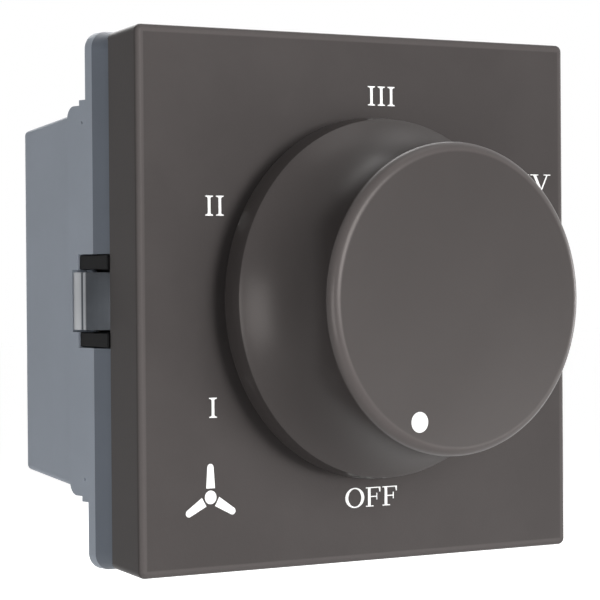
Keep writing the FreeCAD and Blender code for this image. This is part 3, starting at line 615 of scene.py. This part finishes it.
def makeKnob():
    k = knobShape
    outline = knobOutline()
    knob = addDisc("knobBody", outline[0][0], k["seat"] - outline[0][1], k["steps"])
    openUp(knob)
    pickAll()
    for before, after in zip(outline, outline[1:]):
        push(y=before[1] - after[1])
        ratio = after[0] / before[0]
        stretch(ratio, 1, ratio, (0, k["seat"] - after[1], 0))
    edgeY = (k["seat"] - k["bandTop"]) * mm
    reach = k["bandRadius"] * mm - 2 * tiny

    def isBandEdge(edge):
        return all(abs(v.co.y - edgeY) < tiny and v.co.xz.length > reach for v in edge.verts)

    pick(knob, "EDGE", isBandEdge)
    bevelPicked(k["bandEdge"], steps=3)
    tidyNormals()
    close()
    # The D bore, turned with the shaft's flat
    bore = addRod(
        "boreCutter", k["boreRadius"], k["seat"] - k["boreDepth"], k["seat"] + k["boreStart"],
        k["boreSteps"])
    openUp(bore)
    pickAll()
    bpy.ops.mesh.bisect(
        plane_co=(k["boreFlat"] * mm, 0, 0), plane_no=(1, 0, 0), use_fill=True, clear_outer=True)
    close()
    bore.data.transform(Matrix.Rotation(math.radians(k["turn"]), 4, "Y"))
    cutAway(knob, bore)
    dotX, dotZ = dotCentre()
    front = k["seat"] - k["height"]
    cutAway(knob, addRod(
        "dotCutter", k["dotRadius"] + k["dotGap"], front - over, front + k["dotDepth"],
        k["dotSteps"], dotX, dotZ))
    smooth(knob)
    dress(knob, "knob")
    settle(knob, "knob", "knob")


def makePointerDot():
    k = knobShape
    dotX, dotZ = dotCentre()
    front = k["seat"] - k["height"]
    top = front - k["dotProud"]
    dot = addRod(
        "pointerDot", k["dotRadius"], top, front + k["dotDepth"] - k["dotFloor"], k["dotSteps"],
        dotX, dotZ)
    openUp(dot)
    pick(dot, "EDGE", lambda edge: all(v.co.y < top * mm + tiny for v in edge.verts))
    bevelPicked(k["dotEdge"], steps=3)
    close()
    smooth(dot)
    dress(dot, "ink")
    settle(dot, "pointer_dot", "knob")


makeKnob()
makePointerDot()
print("knob done")


# Spring clips, in mm and degrees: the path is the left strip's middle line, seen from above
clipShape = {
    "width": 4.8, "thickness": 0.35, "bend": 0.12, "bendSteps": 5, "edge": 0.05,
    "edgeFrom": 60, "sharpFrom": 40,
    "path": [
        (-20.25, -2.85), (-21.35, -2.85), (-22.75, -0.75), (-22.42, -0.1), (-22.62, 0.35),
        (-22.4, 1.75)],
}


def makeClip(name, side, node, body):
    c = clipShape
    half = c["width"] / 2
    path = c["path"]
    layDown()
    bpy.ops.mesh.primitive_plane_add(size=1)
    clip = bpy.context.object
    openUp(clip)
    # The plane shrinks to one edge across the strip, and that edge is drawn along the path
    pickAll("VERT")
    bpy.ops.transform.resize(value=(0, 1, 1))
    bpy.ops.mesh.remove_doubles(threshold=tiny)
    bpy.ops.transform.resize(value=(1, c["width"] * mm, 1), center_override=(0, 0, 0))
    shape = bmesh.from_edit_mesh(clip.data)
    for v in shape.verts:
        v.co = Vector((path[0][0] * mm, path[0][1] * mm, math.copysign(half * mm, v.co.y)))
    bmesh.update_edit_mesh(clip.data)
    pickAll("EDGE")
    for before, after in zip(path, path[1:]):
        push(x=after[0] - before[0], y=after[1] - before[1])
    inner = [Vector((x * mm, y * mm)) for x, y in path[1:-1]]

    def isBend(edge):
        a, b = (v.co for v in edge.verts)
        return abs(a.z - b.z) > mm and any((a.xy - place).length < tiny for place in inner)

    pick(clip, "EDGE", isBend)
    bevelPicked(c["bend"], c["bendSteps"])
    pickAll()
    bpy.ops.mesh.normals_make_consistent(inside=False)
    close()
    applyTool(clip, "SOLIDIFY", thickness=c["thickness"] * mm, offset=0.0, use_even_offset=True)
    applyTool(
        clip, "BEVEL", width=c["edge"] * mm, segments=2, limit_method="ANGLE",
        angle_limit=math.radians(c["edgeFrom"]))
    if side > 0:
        clip.scale.x = -1
    freeze(clip, name)
    openUp(clip)
    tidyNormals()
    close()
    smooth(clip, c["sharpFrom"])
    dress(clip, "clip")
    settle(clip, node, body)


makeClip("leftClip", -1, "left_clip", "left_clip")
makeClip("rightClip", 1, "right_clip", "right_clip")
print("clips done")


# Pieces that keep their CAD form, with their edges worn round. For each node: the piece's name,
# the rounding's width in mm and its steps, the finish and the body
terminals = ["speed_1", "speed_2", "speed_3", "speed_4", "common"]
wornPieces = {
    "front_frame": ("frontFrame", 0.12, 3, "frame", "root"),
    "rear_casing": ("rearCasing", 0.15, 3, "casing", "root"),
    "left_clip_holder": ("leftClipHolder", 0.12, 3, "holder", "root"),
    "right_clip_holder": ("rightClipHolder", 0.12, 3, "holder", "root"),
    "casing_screws": ("casingScrews", 0.05, 2, "screw", "root"),
    "base_screws": ("baseScrews", 0.04, 2, "screw", "root"),
    "switch_base": ("switchBase", 0.1, 2, "base", "root"),
    "detent_spring": ("detentSpring", 0.04, 2, "leaf", "root"),
    "knob_grip_spring": ("knobGripSpring", 0.04, 2, "leaf", "knob"),
    "shaft": ("driveShaft", 0.08, 2, "nylon", "knob"),
    "rotor": ("detentRotor", 0.08, 2, "nylon", "knob"),
    "moving_contact": ("movingContact", 0.05, 2, "bronze", "knob"),
}
for key in terminals:
    wornPieces["terminal_screw_" + key] = ("terminalScrew_" + key, 0.06, 2, "screw", "screw_" + key)
    wornPieces["terminal_cage_" + key] = ("terminalCage_" + key, 0.1, 2, "cage", "cage_" + key)
    wornPieces["contact_" + key] = ("contact_strip_" + key, 0.04, 2, "brass", "root")
for node, (name, width, steps, finish, body) in wornPieces.items():
    piece = roundedCopy(node, name, width, steps)
    dress(piece, finish)
    settle(piece, node, body)
print("casing, frame and inner pieces done")

# The print stays as the CAD made it
for node in ("scale_legend", "fan_symbol"):
    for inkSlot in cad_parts[node].material_slots:
        inkSlot.material = finishes["ink"]
print("legends done")


# Camera, floor and light, in metres. The camera is the one that was fitted to the photo
cameraShape = {
    "place": (-0.136570, -0.194192, 0.002669),
    "right": (0.81928337, -0.57334097, -0.00740898),
    "up": (0.01297431, 0.00561864, 0.99990004),
    "forward": (0.57324203, 0.81929761, -0.01204196),
    "lens": 162.02, "sensor": 36.0, "nearest": 0.01,
}


def makeCamera():
    c = cameraShape
    camera = bpy.data.cameras.new("camera")
    camera.lens = c["lens"]
    camera.sensor_width = c["sensor"]
    camera.clip_start = c["nearest"]
    rig = bpy.data.objects.new("camera", camera)
    bpy.context.scene.collection.objects.link(rig)
    columns = [Vector(c["right"]), Vector(c["up"]), -Vector(c["forward"])]
    turn = Matrix(columns).transposed().to_4x4()
    rig.matrix_world = Matrix.Translation(c["place"]) @ turn
    bpy.context.scene.camera = rig


floorShape = {
    "size": 6, "level": -0.1, "glow": 0.92, "dark": (0.5, 0.5, 0.5), "pale": (0.54, 0.54, 0.54),
    "wear": 3, "rough": 0.8, "gloss": 0.1,
}


def makeFloor():
    f = floorShape
    layDown()
    bpy.ops.mesh.primitive_plane_add(size=f["size"], location=(0, 0, f["level"]))
    floor = freeze(bpy.context.object, "floor")
    paint = Paint("paleFloor")
    wear = paint.noise(f["wear"], 3, 0.5)
    paint.set(
        Base_Color=paint.mixed(wear, shade(f["dark"], 1), shade(f["pale"], 1)),
        Roughness=f["rough"],
        Specular_IOR_Level=f["gloss"],
        Emission_Color=paint.seen(),
        Emission_Strength=f["glow"])
    floor.data.materials.append(paint.material)


# Each lamp's place, width and height in metres, and its power in watts. All look at the knob
studioLamps = {
    "keyLamp": ((0.05, -0.775, 0.17), (0.4, 0.4), 5.3),
    "keySideLamp": ((0.207, -0.772, 0.028), (0.3, 0.3), 0.8),
    "lowLamp": ((0.153, -0.183, -0.055), (0.08, 0.08), 0.078),
    "streakLamp": ((-0.202, -0.127, -0.026), (0.1, 0.12), 0.21),
    "crownLamp": ((0.17, -0.25, 0.7), (0.4, 0.4), 0.75),
    "rimTopLamp": ((0.456, 0.1, 0.645), (0.25, 0.25), 0.12),
    "rimRightLamp": ((0.77, -0.12, 0.0), (0.2, 0.2), 1.5),
    "topBackLamp": ((0.1, 0.55, 0.6), (0.5, 0.5), 1.6),
    "backLamp": ((0.3, 0.75, 0.4), (0.7, 0.7), 4.0),
}
lampTarget = Vector((0, -0.01, 0))
skyLight = 0.035


def makeLamp(name, place, size, power):
    light = bpy.data.lights.new(name, "AREA")
    light.shape = "RECTANGLE"
    light.size, light.size_y = size
    light.energy = power
    lamp = bpy.data.objects.new(name, light)
    bpy.context.scene.collection.objects.link(lamp)
    lamp.location = place
    lamp.rotation_euler = (lampTarget - Vector(place)).to_track_quat("-Z", "Y").to_euler()
    lamp.visible_camera = False


def makeWorld():
    # A faint sky lights the switch, and a white one shows
    world = bpy.data.worlds.new("studio")
    bpy.context.scene.world = world
    world.use_nodes = True
    nodes = Nodes(world.node_tree)
    lit = nodes.add("ShaderNodeBackground", None, {"Color": white, "Strength": skyLight})
    shown = nodes.add("ShaderNodeBackground", None, {"Color": white, "Strength": 1.0})
    mix = nodes.add("ShaderNodeMixShader", None, {0: nodes.seen(), 1: lit, 2: shown})
    world.node_tree.links.new(mix.socket, world.node_tree.nodes["World Output"].inputs["Surface"])


makeCamera()
makeFloor()
makeWorld()
for name, (place, size, power) in studioLamps.items():
    makeLamp(name, place, size, power)
bpy.context.scene.view_settings.view_transform = "Standard"
print("camera and light done")
